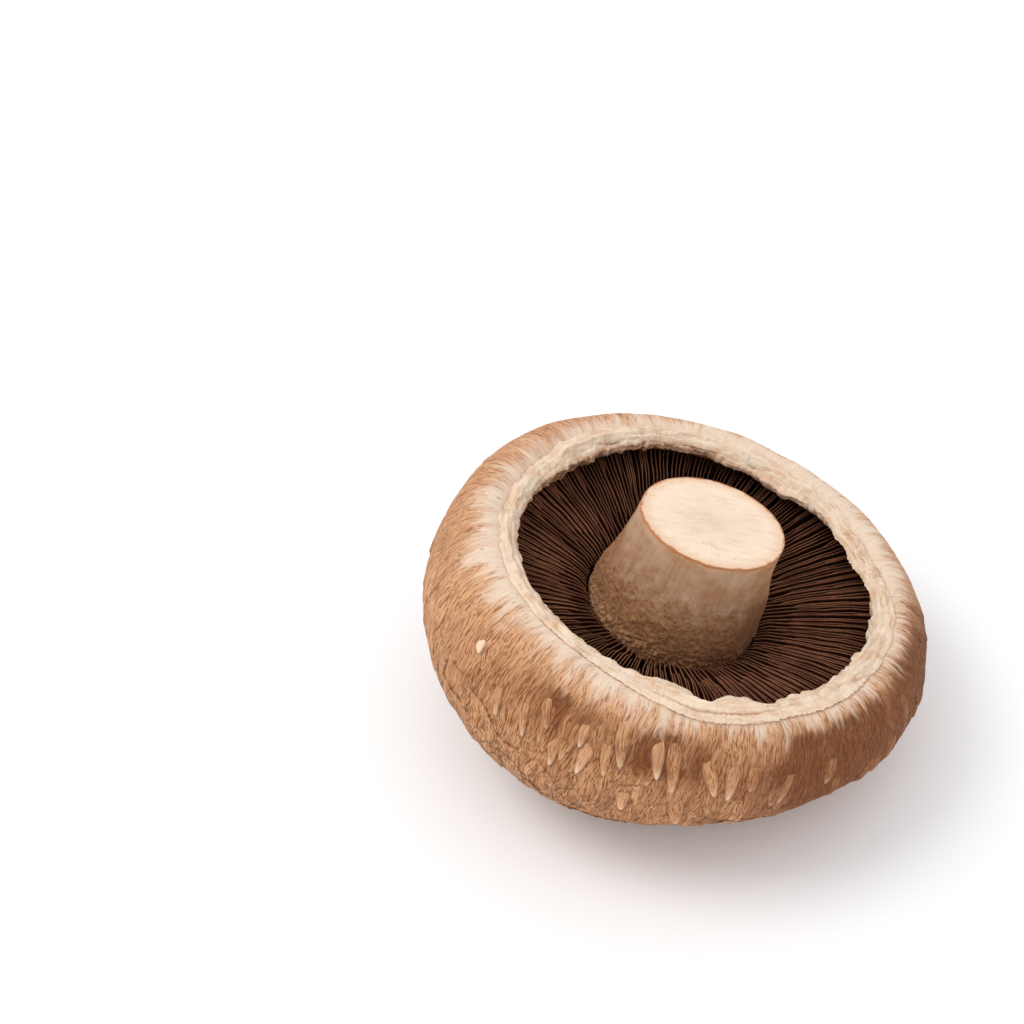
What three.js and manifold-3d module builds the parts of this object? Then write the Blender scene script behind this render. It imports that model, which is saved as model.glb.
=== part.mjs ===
// A portobello mushroom with a cut stem, lying cap down and leaning a little.
// Millimetres, +Z up. The origin is the middle of the flattened spot that the cap rests on.
//
// Each piece is drawn in the mushroom's own frame: +Z comes out of the mouth along the stem, and
// z = 0 is the mouth, the plane of the veil's torn edge. Depths are measured from there towards
// the top of the dome. The whole mushroom then leans over and is set down on its resting spot.
import * as THREE from "three";
import { mergeVertices } from "three/addons/utils/BufferGeometryUtils.js";
import Module from "manifold-3d";

// cap
const CAP_RADIUS = 55; // at its widest ring
const CAP_DEPTH = 45; // mouth to the top of the dome, on the axis
const WIDEST_DEPTH = 14; // mouth to the widest ring
const DOME_ROUNDNESS = 1.9; // 2 makes the dome's side an ellipse, less draws its flank in
const DOME_FLATNESS = 2.2; // 2 makes the dome's top an ellipse, more flattens it
const MARGIN_ROLL = 9; // how far the margin curls in from the widest ring
const MARGIN_RISE = 1; // crest of the margin beyond the mouth
const LOPSIDED_X = -0.22; // share by which the dome is shallower towards +X
const LOPSIDED_Y = -0.01; // the same towards +Y

// veil remnant, the torn skin that once closed the mouth
const VEIL_WIDTH = 6.3;
const VEIL_THICKNESS = 2;
const VEIL_RISE = 1; // outer edge of the veil beyond the mouth

// gills
const GILL_DIP_AT_STEM = 11.7; // mouth to the gills' free edges, beside the stem
const GILL_DIP_AT_MARGIN = 4.4; // the same beside the margin
const GILL_HEIGHT = 7.5; // free edge to flesh
const GILL_RIBS = 80;
const GROOVE_DEPTH = 1.2;

// stem
const STEM_END_RADIUS = 15.8; // at the cut face
const STEM_WAIST_RADIUS = 16.2;
const STEM_BASE_RADIUS = 18.6; // at the felted collar, where it leaves the gills
const STEM_STANDS_OUT = 12.2; // cut face beyond the mouth
const STEM_SWAY = 1.6; // the base sits this far to -X of the cut face
const CUT_SLOPE = THREE.MathUtils.degToRad(5.5); // the knife's cut against the mouth

// how it lies
const LEAN = THREE.MathUtils.degToRad(14.3); // towards +X
const SPOT_DEPTH = 0.7; // how much the soft dome is flattened where it rests

const GAP = 0.3; // between pieces that touch
const ROUND_STEPS = 72;

// ---- sizes that follow from those above
const MARGIN_RADIUS = CAP_RADIUS - MARGIN_ROLL;
const HOLLOW_RADIUS = MARGIN_RADIUS - GAP;
const STEM_SEAT = GILL_DIP_AT_STEM + GILL_HEIGHT;
const GILL_INNER = STEM_BASE_RADIUS + GAP;
const GILL_OUTER = HOLLOW_RADIUS - GAP;

const wasm = await Module();
wasm.setup();

// ---- helpers
const at = (radius, z) => new THREE.Vector2(radius, z);

// A profile of (radius, z) points turned about Z.
function turned(profile, steps = ROUND_STEPS) {
  return new THREE.LatheGeometry(profile, steps).rotateX(Math.PI / 2);
}

// Moves every vertex of a geometry by a rule that changes the vector it is given.
function reshape(geometry, rule) {
  const places = geometry.getAttribute("position");
  const p = new THREE.Vector3();
  for (let i = 0; i < places.count; i++) {
    p.fromBufferAttribute(places, i);
    rule(p, i);
    places.setXYZ(i, p.x, p.y, p.z);
  }
  return geometry;
}

// The stem's foot is off the cap's middle, and so is the inner end of all that surrounds it.
function swayed(geometry) {
  return reshape(geometry, (p) => {
    const radius = Math.hypot(p.x, p.y);
    const inwards = (GILL_OUTER - radius) / (GILL_OUTER - GILL_INNER);
    p.x -= STEM_SWAY * THREE.MathUtils.clamp(inwards, 0, 1);
  });
}

function toSolid(geometry) {
  const bare = geometry.clone().deleteAttribute("normal").deleteAttribute("uv");
  const merged = mergeVertices(bare, 1e-4);
  return new wasm.Manifold(
    new wasm.Mesh({
      numProp: 3,
      vertProperties: merged.getAttribute("position").array,
      triVerts: new Uint32Array(merged.index.array),
    }),
  );
}

function toGeometry(solid) {
  const { vertProperties, triVerts } = solid.getMesh();
  const geometry = new THREE.BufferGeometry();
  geometry.setAttribute("position", new THREE.BufferAttribute(vertProperties, 3));
  geometry.setIndex(new THREE.BufferAttribute(triVerts, 1));
  geometry.computeVertexNormals();
  return geometry;
}

function subPart(name, geometry, color, roughness) {
  const material = new THREE.MeshStandardMaterial({ color, roughness, metalness: 0 });
  const mesh = new THREE.Mesh(geometry, material);
  mesh.name = name;
  return mesh;
}

// ---- cap: a solid dome, hollowed for the gills and the stem, then flattened where it rests
const DOME_STEPS = 18;
const MARGIN_STEPS = 7;

function domeProfile() {
  const points = [];
  for (let i = 0; i <= DOME_STEPS; i++) {
    const turn = ((i / DOME_STEPS) * Math.PI) / 2;
    const radius = CAP_RADIUS * Math.sin(turn) ** (2 / DOME_ROUNDNESS);
    const rise = (CAP_DEPTH - WIDEST_DEPTH) * Math.cos(turn) ** (2 / DOME_FLATNESS);
    points.push(at(i < DOME_STEPS ? radius : CAP_RADIUS, -WIDEST_DEPTH - rise));
  }
  for (let i = 1; i <= MARGIN_STEPS; i++) {
    const turn = ((i / MARGIN_STEPS) * Math.PI) / 2;
    const radius = MARGIN_RADIUS + MARGIN_ROLL * Math.cos(turn);
    points.push(at(radius, -WIDEST_DEPTH + (WIDEST_DEPTH + MARGIN_RISE) * Math.sin(turn)));
  }
  points.push(at(0, MARGIN_RISE));
  points[0].x = 0;
  return points;
}

function hollowProfile() {
  return [
    at(0, -STEM_SEAT),
    at(GILL_INNER, -STEM_SEAT),
    at(HOLLOW_RADIUS, -GILL_DIP_AT_MARGIN - GILL_HEIGHT),
    at(HOLLOW_RADIUS, MARGIN_RISE + 2),
    at(0, MARGIN_RISE + 2),
  ];
}

function capSolid() {
  const dome = reshape(turned(domeProfile()), (p) => {
    if (p.z < 0) p.z *= 1 + (LOPSIDED_X * p.x + LOPSIDED_Y * p.y) / CAP_RADIUS;
  });
  return toSolid(dome).subtract(toSolid(swayed(turned(hollowProfile()))));
}

// Flattens the leaning cap's lowest part, and says where the middle of the flat spot is.
function setDown(cap, lean) {
  const leaning = toGeometry(cap).applyMatrix4(lean);
  leaning.computeBoundingBox();
  const table = leaning.boundingBox.min.z + SPOT_DEPTH;
  const below = new THREE.BoxGeometry(4 * CAP_RADIUS, 4 * CAP_RADIUS, CAP_DEPTH);
  below.translate(0, 0, table - CAP_DEPTH / 2);
  const flattened = toGeometry(toSolid(leaning).subtract(toSolid(below)));
  const spot = new THREE.Box3();
  reshape(flattened, (p) => {
    if (p.z < table + 1e-3) spot.expandByPoint(p);
  });
  const middle = spot.getCenter(new THREE.Vector3()).setZ(table);
  return { geometry: flattened.applyMatrix4(lean.clone().invert()), middle };
}

// ---- veil: a thin ring inside the margin, its inner edge turned down a little
function veilGeometry() {
  const outer = HOLLOW_RADIUS - GAP;
  const inner = outer - VEIL_WIDTH;
  const middle = (inner + outer) / 2;
  return turned([
    at(outer, VEIL_RISE),
    at(middle, VEIL_RISE * 0.8),
    at(inner + VEIL_THICKNESS / 4, 0),
    at(inner, -VEIL_THICKNESS / 3),
    at(inner + VEIL_THICKNESS / 4, -VEIL_THICKNESS * 0.7),
    at(middle, VEIL_RISE * 0.8 - VEIL_THICKNESS),
    at(outer, VEIL_RISE - VEIL_THICKNESS),
    at(outer, VEIL_RISE),
  ]);
}

// ---- gills: a shallow funnel round the stem, with ribs that stand for the thin blades
function gillGeometry() {
  const edge = 3;
  const profile = [];
  for (let i = 0; i <= edge; i++) {
    const out = i / edge;
    const radius = GILL_INNER + (GILL_OUTER - GILL_INNER) * out;
    profile.push(at(radius, -GILL_DIP_AT_STEM + (GILL_DIP_AT_STEM - GILL_DIP_AT_MARGIN) * out));
  }
  profile.push(at(GILL_OUTER, GAP - GILL_DIP_AT_MARGIN - GILL_HEIGHT));
  profile.push(at(GILL_INNER, GAP - STEM_SEAT));
  profile.push(profile[0].clone());
  profile.reverse();
  const count = profile.length;
  const isFreeEdge = (k) => k === 0 || k >= count - 1 - edge;
  const ribbed = reshape(turned(profile, 2 * GILL_RIBS), (p, i) => {
    if (Math.floor(i / count) % 2 === 1 && isFreeEdge(i % count)) p.z -= GROOVE_DEPTH;
  });
  return swayed(ribbed);
}

// ---- stem: a felted collar, a waist and a flat cut face
function stemGeometry() {
  const foot = GAP - STEM_SEAT;
  const collar = -GILL_DIP_AT_STEM;
  const profile = [
    at(0, foot),
    at(STEM_BASE_RADIUS - 1.2, foot),
    at(STEM_BASE_RADIUS, foot + 1.2),
    at(STEM_BASE_RADIUS, collar),
  ];
  const steps = 8;
  const shaft = STEM_STANDS_OUT - collar;
  for (let i = 1; i <= steps; i++) {
    const up = i / steps;
    const flare = (STEM_BASE_RADIUS - STEM_WAIST_RADIUS) * Math.exp(-5 * up * up);
    const taper = (STEM_END_RADIUS - STEM_WAIST_RADIUS) * up;
    profile.push(at(STEM_WAIST_RADIUS + flare + taper, collar + shaft * up));
  }
  profile.push(at(0, STEM_STANDS_OUT));
  return reshape(turned(profile, 48), (p) => {
    const up = Math.max(0, (p.z - collar) / shaft);
    p.z -= p.y * Math.tan(CUT_SLOPE) * up;
    p.x -= STEM_SWAY * (1 - up);
  });
}

// ---- the whole mushroom
const lean = new THREE.Matrix4().makeRotationY(LEAN);
const cap = setDown(capSolid(), lean);

const mushroom = new THREE.Group();
mushroom.rotation.y = LEAN;
mushroom.position.copy(cap.middle).negate();
mushroom.add(
  subPart("cap", cap.geometry, 0x9b6b45, 0.8),
  subPart("veil", veilGeometry(), 0xe6cdb4, 0.85),
  subPart("gills", gillGeometry(), 0x452a1c, 0.9),
  subPart("stem", stemGeometry(), 0xd9bfa2, 0.8),
);

const group = new THREE.Group();
group.add(mushroom);

export default group;
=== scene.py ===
"""A portobello mushroom lying cap down, built piece by piece around its fixed frame.

Shapes are worked out in the mushroom's own frame, in millimetres: z comes out of the mouth along
the stem, z = 0 is the mouth, and angles run round the stem. place() leans the mushroom over and
puts it where the frame holds it.
"""

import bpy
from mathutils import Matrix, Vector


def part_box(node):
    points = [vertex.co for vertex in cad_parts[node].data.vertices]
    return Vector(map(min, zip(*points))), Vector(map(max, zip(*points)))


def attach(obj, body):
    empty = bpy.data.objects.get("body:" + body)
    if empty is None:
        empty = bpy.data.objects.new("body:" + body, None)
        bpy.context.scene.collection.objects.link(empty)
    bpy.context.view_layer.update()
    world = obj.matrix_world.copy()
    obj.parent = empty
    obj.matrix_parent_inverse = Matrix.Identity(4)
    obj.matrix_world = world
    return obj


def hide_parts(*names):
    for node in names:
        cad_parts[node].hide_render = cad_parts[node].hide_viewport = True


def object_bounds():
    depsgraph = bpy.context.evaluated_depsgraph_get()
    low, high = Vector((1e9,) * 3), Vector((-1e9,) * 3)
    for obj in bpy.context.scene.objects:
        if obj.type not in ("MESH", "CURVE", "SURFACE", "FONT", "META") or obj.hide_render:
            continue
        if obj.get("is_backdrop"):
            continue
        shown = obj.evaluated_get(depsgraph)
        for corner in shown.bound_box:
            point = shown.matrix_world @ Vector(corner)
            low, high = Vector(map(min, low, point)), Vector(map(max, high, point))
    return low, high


bl_info = {
    "name": "Portobello Mushroom",
    "version": (1, 0, 0),
    "blender": (4, 5, 0),
    "location": "View3D > Sidebar > Mushroom",
    "description": "Builds the cap, scales, veil, gills and stem of a portobello, and its stage",
    "category": "Add Mesh",
}

import itertools
import math
from collections import namedtuple

import bpy
import numpy as np
from bpy.props import FloatProperty, FloatVectorProperty, IntProperty, PointerProperty
from mathutils import Vector

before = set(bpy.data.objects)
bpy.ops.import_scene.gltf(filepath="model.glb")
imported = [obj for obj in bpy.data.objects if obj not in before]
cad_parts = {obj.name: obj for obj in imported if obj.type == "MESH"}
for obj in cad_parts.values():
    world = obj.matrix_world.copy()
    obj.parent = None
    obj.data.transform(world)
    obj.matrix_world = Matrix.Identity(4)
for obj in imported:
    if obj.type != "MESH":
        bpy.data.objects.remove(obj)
FRAME_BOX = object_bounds()

TAU = 2 * math.pi
MM = 0.001
FRONT = math.radians(270)


# ------------------------------------------------------------------------------ the frame's sizes
def box_size(node):
    """Length, width and height of a node's box, in metres."""
    low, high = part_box(node)
    return high - low


def box_middle(node):
    """The middle of a node's box, in metres."""
    low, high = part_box(node)
    return (low + high) / 2


# --------------------------------------------------------------------------------------- settings
def length(name, default, description):
    """A size that a user can set, in metres."""
    return FloatProperty(
        name=name, description=description, default=default, min=0.0, unit="LENGTH", precision=5
    )


def colour(name, default, description):
    """A colour that a user can set."""
    return FloatVectorProperty(
        name=name, description=description, default=default, size=3, min=0, max=1, subtype="COLOR"
    )


class MushroomShape(bpy.types.PropertyGroup):
    """Sizes that all the pieces share."""

    cap_radius: length("Cap radius", box_size("cap").y / 2, "The cap at its widest ring")
    cap_depth: length("Cap depth", 0.045, "Mouth to the top of the dome")
    widest_depth: length("Widest depth", 0.014, "Mouth to the widest ring")
    margin_roll: length("Margin roll", 0.009, "How far the margin curls in")
    margin_rise: length("Margin rise", 0.001, "Crest of the margin beyond the mouth")
    mouth_radius: length("Mouth radius", 0.0391, "Middle of the stem to the veil's torn edge")
    gill_dip: length("Gill dip", 0.0117, "Mouth to the gills beside the stem")
    gill_dip_outside: length("Outer gill dip", 0.0044, "Mouth to the gills beside the margin")
    gill_height: length("Gill height", 0.0062, "Free edge of a blade to the flesh")
    blade_count: IntProperty(
        name="Blades", description="Long gill blades round the stem", default=128, min=12
    )
    stem_end_radius: length("Stem radius", 0.0158, "The stem at its cut face")
    stem_waist_radius: length("Stem waist", 0.0162, "The stem below its cut face")
    stem_base_radius: length("Stem base radius", 0.0188, "The stem's felted collar")
    stem_stands_out: length("Stem length", 0.0122, "Cut face beyond the mouth")
    stem_sway: length("Stem sway", 0.0016, "How far the stem's foot is off the middle")
    dome_roundness: FloatProperty(
        name="Dome roundness", description="2 makes the dome's side an ellipse", default=1.9, min=1
    )
    dome_flatness: FloatProperty(
        name="Dome flatness", description="2 makes the dome's top an ellipse", default=2.2, min=1
    )
    lopsided_x: FloatProperty(
        name="Lopsided X", description="Share by which the dome is shallower to +X", default=-0.22
    )
    lopsided_y: FloatProperty(
        name="Lopsided Y", description="Share by which the dome is shallower to +Y", default=-0.01
    )
    cut_slope: FloatProperty(
        name="Cut slope", description="The knife's cut against the mouth",
        default=math.radians(5.5), subtype="ANGLE",
    )
    lean: FloatProperty(
        name="Lean", description="How far the mushroom leans to +X",
        default=math.radians(14.3), subtype="ANGLE",
    )


class MushroomColours(bpy.types.PropertyGroup):
    """Colours of skin, flesh and gills."""

    cream: colour("Cream", (0.80, 0.66, 0.53), "Downy margin of the cap")
    straw: colour("Straw", (0.67, 0.365, 0.195), "Pale fibres of the cap")
    tan: colour("Tan", (0.305, 0.120, 0.042), "Body colour of the cap")
    # also the colour of the painted shade on the wall under the veil and on the veil's back wall
    rust: colour("Rust", (0.165, 0.047, 0.011), "Reddish brown patches of the cap")
    # also the colour of the painted shade round the scales and sheets
    umber: colour("Umber", (0.070, 0.027, 0.012), "Cracks and creases")
    veil: colour("Veil", (0.82, 0.645, 0.49), "Torn skin round the mouth")
    # also the colour of the painted shade in the veil's hollows and along its outer edge
    veil_stain: colour("Veil stain", (0.55, 0.27, 0.115), "Stains in the veil's folds")
    gill: colour("Gill", (0.020, 0.006, 0.003), "Sides of the gill blades")
    gill_edge: colour("Gill edge", (0.34, 0.142, 0.075), "Free edges of the gill blades")
    flesh: colour("Flesh", (0.88, 0.70, 0.54), "Cut face of the stem")
    stem: colour("Stem", (0.40, 0.205, 0.098), "Side of the stem")
    felt: colour("Felt", (0.26, 0.115, 0.050), "Felted collar of the stem")
    # also the colour of the painted shade on the stem's right side
    bruise_and_shade: colour("Bruise", (0.185, 0.070, 0.028), "Dark patch and cut edge of the stem")
    cut_edge: colour("Cut edge", (0.44, 0.165, 0.055), "Browned rim of the stem's cut face")
    floor: colour("Floor", (0.93, 0.93, 0.935), "The surface it lies on")


def shape():
    """The sizes as they are set in the scene."""
    return bpy.context.scene.mushroom_shape


def colours():
    """The colours as they are set in the scene."""
    return bpy.context.scene.mushroom_colours


def mm(name):
    """A shared size, in millimetres."""
    return getattr(shape(), name) / MM


# ------------------------------------------------------------------------------------ plain maths
GRADIENTS = np.random.default_rng(7).normal(size=(256, 3))
GRADIENTS /= np.linalg.norm(GRADIENTS, axis=1)[:, None]


def scramble(*numbers, seed=0):
    """A repeatable whole number from whole numbers."""
    mixed = np.array([seed * 2654435761 + 97], np.uint64)
    for number, prime in zip(numbers, (73856093, 19349663, 83492791)):
        mixed = mixed ^ (np.asarray(number, np.int64).astype(np.uint64) * np.uint64(prime))
        mixed = (mixed ^ (mixed >> np.uint64(15))) * np.uint64(2246822519) & np.uint64(0xFFFFFFFF)
    return mixed ^ (mixed >> np.uint64(13))


def chance(*numbers, seed=0):
    """A repeatable number from 0 to 1 from whole numbers."""
    return (scramble(*numbers, seed=seed) % np.uint64(65521)).astype(float) / 65521


def noise(places, seed=0):
    """Smooth noise at (n, 3) places, about -0.6 to 0.6, with features one unit wide."""
    cell = np.floor(places).astype(np.int64)
    part = places - cell
    fade = part**3 * (part * (part * 6 - 15) + 10)
    total = np.zeros(len(places))
    for corner in itertools.product((0, 1), repeat=3):
        x, y, z = (cell + np.array(corner)).T
        pick = scramble(x, y, z, seed=seed) % np.uint64(len(GRADIENTS))
        slope = GRADIENTS[pick.astype(int)]
        weight = np.prod(np.where(corner, fade, 1 - fade), axis=1)
        total += weight * ((part - np.array(corner)) * slope).sum(axis=1)
    return total


def rough_noise(places, octaves=3, seed=0, keep=0.5):
    """Noise with finer noise on top of it."""
    total, weight = np.zeros(len(places)), 1.0
    for octave in range(octaves):
        total += weight * noise(places * 2.0**octave, seed + octave)
        weight *= keep
    return total


def step(low, high, value):
    """0 below low, 1 above high, smooth between."""
    share = np.clip((value - low) / (high - low), 0, 1)
    return share * share * (3 - 2 * share)


def turn_between(angle, other):
    """The signed turn from other to angle, within half a turn."""
    return (angle - other + math.pi) % TAU - math.pi


def bump(angle, degrees, width):
    """A smooth bump of height 1 round an angle, with a width in degrees."""
    return np.exp(-((np.degrees(turn_between(angle, math.radians(degrees))) / width) ** 2))


def bumps(angle, *parts):
    """The sum of several bumps, each given as its height, its angle and its width."""
    return sum(height * bump(angle, degrees, width) for height, degrees, width in parts)


def grain_of(angle, down, tight=1.0):
    """Where a point lies in the grain: round the stem, and along the fibres. A tight grain has its
    noise packed more closely round the stem."""
    return np.stack([np.cos(angle) * tight, np.sin(angle) * tight, down], axis=-1)


# ----------------------------------------------------------------------------------- mesh helpers
VEIL_TO_MOUTH = 0.0002


def mouth_middle():
    """The middle of the mouth, in metres: the middle of the veil's box, moved out to the mouth."""
    lean = shape().lean
    out = np.array([math.sin(lean), 0, math.cos(lean)])
    return np.array(box_middle("veil")) + VEIL_TO_MOUTH * out


def place(points):
    """Points in the mushroom's own frame, in millimetres, leaned over and put in place, in metres."""
    lean = shape().lean
    axes = np.array(
        [[math.cos(lean), 0, -math.sin(lean)], [0, 1, 0], [math.sin(lean), 0, math.cos(lean)]]
    )
    return np.asarray(points, float) @ axes * MM + mouth_middle()


def grid_faces(rows, columns, closed=True, first=0, turned=False):
    """Faces of a grid of rows by columns, closed round its columns or open, and turned over."""
    across = columns if closed else columns - 1
    row, column = np.meshgrid(np.arange(rows - 1), np.arange(across), indexing="ij")
    here = row * columns + column
    right = row * columns + (column + 1) % columns
    quads = np.stack([here, right, right + columns, here + columns], axis=-1)
    quads = quads[..., ::-1] if turned else quads
    return quads.reshape(-1, 4) + first


def grid_normals(grid):
    """Normals of a (rows, columns, 3) grid that is closed round its columns."""
    along = np.gradient(grid, axis=0)
    around = np.roll(grid, -1, axis=1) - np.roll(grid, 1, axis=1)
    normals = np.cross(around, along)
    size = np.linalg.norm(normals, axis=2, keepdims=True)
    return normals / np.maximum(size, 1e-9)


def settle(points):
    """Nothing sinks below the surface that the mushroom rests on."""
    points[:, 2] = np.maximum(points[:, 2], 0.0)
    return points


class Parts:
    """Gathers many small shapes, with the values at their points, for one piece."""

    def __init__(self):
        self.count, self.lists = 0, {}

    def keep(self, name, value):
        """Puts one shape's points, faces or values with those of the others."""
        self.lists.setdefault(name, []).append(value)

    def add(self, points, faces, **values):
        """Takes in a shape; a value is one for the whole shape or one for each point."""
        size = points.size // 3
        self.keep("points", points.reshape(-1, 3))
        self.keep("faces", faces + self.count)
        for name, value in values.items():
            self.keep(name, np.broadcast_to(np.ravel(value), size))
        self.count += size

    def joined(self, name):
        """The points, faces or values of all shapes, one after the other."""
        return np.concatenate(self.lists[name])


def make_piece(name, points, faces, node, material, values, grain, atlas=None):
    """A mesh object with its values at each point, riding on the root and standing for a node."""
    mesh = bpy.data.meshes.new(name)
    faces = np.asarray(faces)
    corners = faces.shape[1]
    mesh.vertices.add(len(points))
    mesh.vertices.foreach_set("co", np.asarray(points, np.float32).ravel())
    mesh.loops.add(faces.size)
    mesh.loops.foreach_set("vertex_index", faces.ravel().astype(np.int32))
    mesh.polygons.add(len(faces))
    mesh.polygons.foreach_set("loop_start", np.arange(0, faces.size, corners, dtype=np.int32))
    mesh.polygons.foreach_set("use_smooth", np.ones(len(faces), bool))
    mesh.update(calc_edges=True)
    for key, value in values.items():
        attribute = mesh.attributes.new(key, "FLOAT", "POINT")
        attribute.data.foreach_set("value", np.asarray(value, np.float32).ravel())
    attribute = mesh.attributes.new("grain", "FLOAT_VECTOR", "POINT")
    attribute.data.foreach_set("vector", np.asarray(grain, np.float32).ravel())
    if atlas is not None:
        layer = mesh.uv_layers.new(name="OFBake")
        layer.data.foreach_set("uv", np.asarray(atlas, np.float32)[faces.ravel()].ravel())
    mesh.validate()
    piece = bpy.data.objects.new(name, mesh)
    bpy.context.scene.collection.objects.link(piece)
    mesh.materials.append(material)
    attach(piece, "root")
    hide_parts(node)


# ------------------------------------------------------------------------------- material helpers
class Shading:
    """Adds nodes to one node tree, and links what they are given."""

    def __init__(self, tree):
        self.tree = tree
        tree.nodes.clear()

    def feed(self, socket, value):
        """Links a socket to a socket, or sets it to a plain value; None leaves it as it is."""
        if isinstance(value, bpy.types.NodeSocket):
            self.tree.links.new(value, socket)
        elif value is not None:
            socket.default_value = value

    def add(self, kind, inputs=None, **settings):
        """A new node with its settings and inputs."""
        node = self.tree.nodes.new(kind)
        for key, value in settings.items():
            setattr(node, key, value)
        for key, value in (inputs or {}).items():
            self.feed(node.inputs[key], value)
        return node

    def maths(self, operation, first, second=None, third=None):
        """Sums on plain numbers."""
        inputs = {0: first, 1: second, 2: third}
        return self.add("ShaderNodeMath", inputs, operation=operation).outputs[0]

    def vectors(self, operation, first, second=None, third=None):
        """Sums on places and colours."""
        inputs = {0: first, 1: second, 2: third}
        return self.add("ShaderNodeVectorMath", inputs, operation=operation).outputs[0]

    def span(self, value, low, high, to_low=0.0, to_high=1.0):
        """Takes low to high smoothly over to another span, 0 to 1 if none is given."""
        node = self.add(
            "ShaderNodeMapRange",
            {"Value": value, "From Min": low, "From Max": high, "To Min": to_low, "To Max": to_high},
            interpolation_type="SMOOTHSTEP",
        )
        return node.outputs["Result"]

    def blend(self, share, first, second):
        """The first colour where share is 0, the second where it is 1."""
        node = self.add("ShaderNodeMix", {0: share}, data_type="RGBA", clamp_factor=True)
        for socket, value in ((node.inputs[6], first), (node.inputs[7], second)):
            whole = value if isinstance(value, bpy.types.NodeSocket) else (*value, 1.0)
            self.feed(socket, whole)
        return node.outputs[2]

    def value_of(self, name):
        """A value that the mesh carries at its points."""
        return self.add("ShaderNodeAttribute", attribute_name=name).outputs["Fac"]

    def vector_of(self, name):
        """A vector that the mesh carries at its points."""
        return self.add("ShaderNodeAttribute", attribute_name=name).outputs["Vector"]

    def here(self):
        """Where a point is on the object itself, in metres."""
        return self.add("ShaderNodeTexCoord").outputs["Object"]

    def group(self, tree, **inputs):
        """Puts a node group in, with its own values."""
        node = self.add("ShaderNodeGroup", node_tree=tree)
        for key, value in inputs.items():
            self.feed(node.inputs[key], value)
        return node.outputs

    def finish(self, base, height, distance, strength, roughness, sheen=0.0, subsurface=0.0):
        """Ends the tree in a matt surface with relief, which may be downy and translucent."""
        relief = self.add(
            "ShaderNodeBump", {"Height": height, "Strength": strength, "Distance": distance}
        )
        skin = self.add(
            "ShaderNodeBsdfPrincipled",
            {
                "Base Color": base,
                "Roughness": roughness,
                "Normal": relief.outputs["Normal"],
                "Sheen Weight": sheen,
                "Sheen Roughness": 0.5,
                "Subsurface Weight": subsurface,
                "Subsurface Scale": 0.002,
                "Specular IOR Level": 0.09,
            },
        )
        skin.inputs["Subsurface Radius"].default_value = (1.0, 0.55, 0.3)
        out = self.add("ShaderNodeOutputMaterial")
        self.tree.links.new(skin.outputs[0], out.inputs[0])


def new_material(name):
    """An empty material with its shading helper."""
    material = bpy.data.materials.new(name)
    material.use_nodes = True
    return material, Shading(material.node_tree)


def new_group(name, inputs, outputs):
    """A shader node group with named sockets, its shading helper, and its two end nodes."""
    tree = bpy.data.node_groups.new(name, "ShaderNodeTree")
    for label, kind, default in inputs:
        socket = tree.interface.new_socket(name=label, in_out="INPUT", socket_type=kind)
        if default is not None:
            socket.default_value = default
    for label, kind in outputs:
        tree.interface.new_socket(name=label, in_out="OUTPUT", socket_type=kind)
    shading = Shading(tree)
    return tree, shading, shading.add("NodeGroupInput"), shading.add("NodeGroupOutput")


def fibre_group():
    """Long fibres that run down the grain: coarse bundles, single fibres, and both together."""
    if "fibres" in bpy.data.node_groups:
        return bpy.data.node_groups["fibres"]
    tree, s, given, result = new_group(
        "fibres",
        [
            ("Grain", "NodeSocketVector", None),
            ("Across", "NodeSocketFloat", 60.0),
            ("Along", "NodeSocketFloat", 0.12),
        ],
        [("Bundles", "NodeSocketFloat"), ("Fibres", "NodeSocketFloat"), ("Relief", "NodeSocketFloat")],
    )
    broad = s.vectors("MULTIPLY", given.outputs["Grain"], (10.0, 10.0, 0.13))
    drift = s.add("ShaderNodeTexNoise", {"Vector": broad, "Scale": 1.0, "Detail": 2.0})
    wandering = s.vectors(
        "MULTIPLY_ADD", drift.outputs["Color"], (0.05, 0.05, 0.0), given.outputs["Grain"]
    )
    parts = []
    for share, detail in ((0.4, 2.0), (1.0, 3.0)):
        across = s.maths("MULTIPLY", given.outputs["Across"], share)
        along = s.maths("MULTIPLY", given.outputs["Along"], share)
        scale = s.add("ShaderNodeCombineXYZ", {"X": across, "Y": across, "Z": along})
        stretched = s.vectors("MULTIPLY", wandering, scale.outputs[0])
        grain = s.add(
            "ShaderNodeTexNoise",
            {"Vector": stretched, "Scale": 1.0, "Detail": detail, "Roughness": 0.6},
        )
        parts.append(grain.outputs["Fac"])
    s.feed(result.inputs["Bundles"], s.span(parts[0], 0.36, 0.64))
    s.feed(result.inputs["Fibres"], s.span(parts[1], 0.34, 0.66))
    s.feed(result.inputs["Relief"], s.maths("MULTIPLY_ADD", parts[0], 0.6, parts[1]))
    return tree


def mottle_group():
    """Soft blotches and fine grain, the same in every direction."""
    if "mottling" in bpy.data.node_groups:
        return bpy.data.node_groups["mottling"]
    tree, s, given, result = new_group(
        "mottling",
        [("Place", "NodeSocketVector", None), ("Blotches", "NodeSocketFloat", 90.0),
         ("Grain", "NodeSocketFloat", 900.0)],
        [("Blotches", "NodeSocketFloat"), ("Grain", "NodeSocketFloat")],
    )
    for label, low, high in (("Blotches", 0.38, 0.62), ("Grain", 0.36, 0.64)):
        cloud = s.add(
            "ShaderNodeTexNoise",
            {"Vector": given.outputs["Place"], "Scale": given.outputs[label], "Detail": 3.0,
             "Roughness": 0.6},
        )
        s.feed(result.inputs[label], s.span(cloud.outputs["Fac"], low, high))
    return tree


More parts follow.
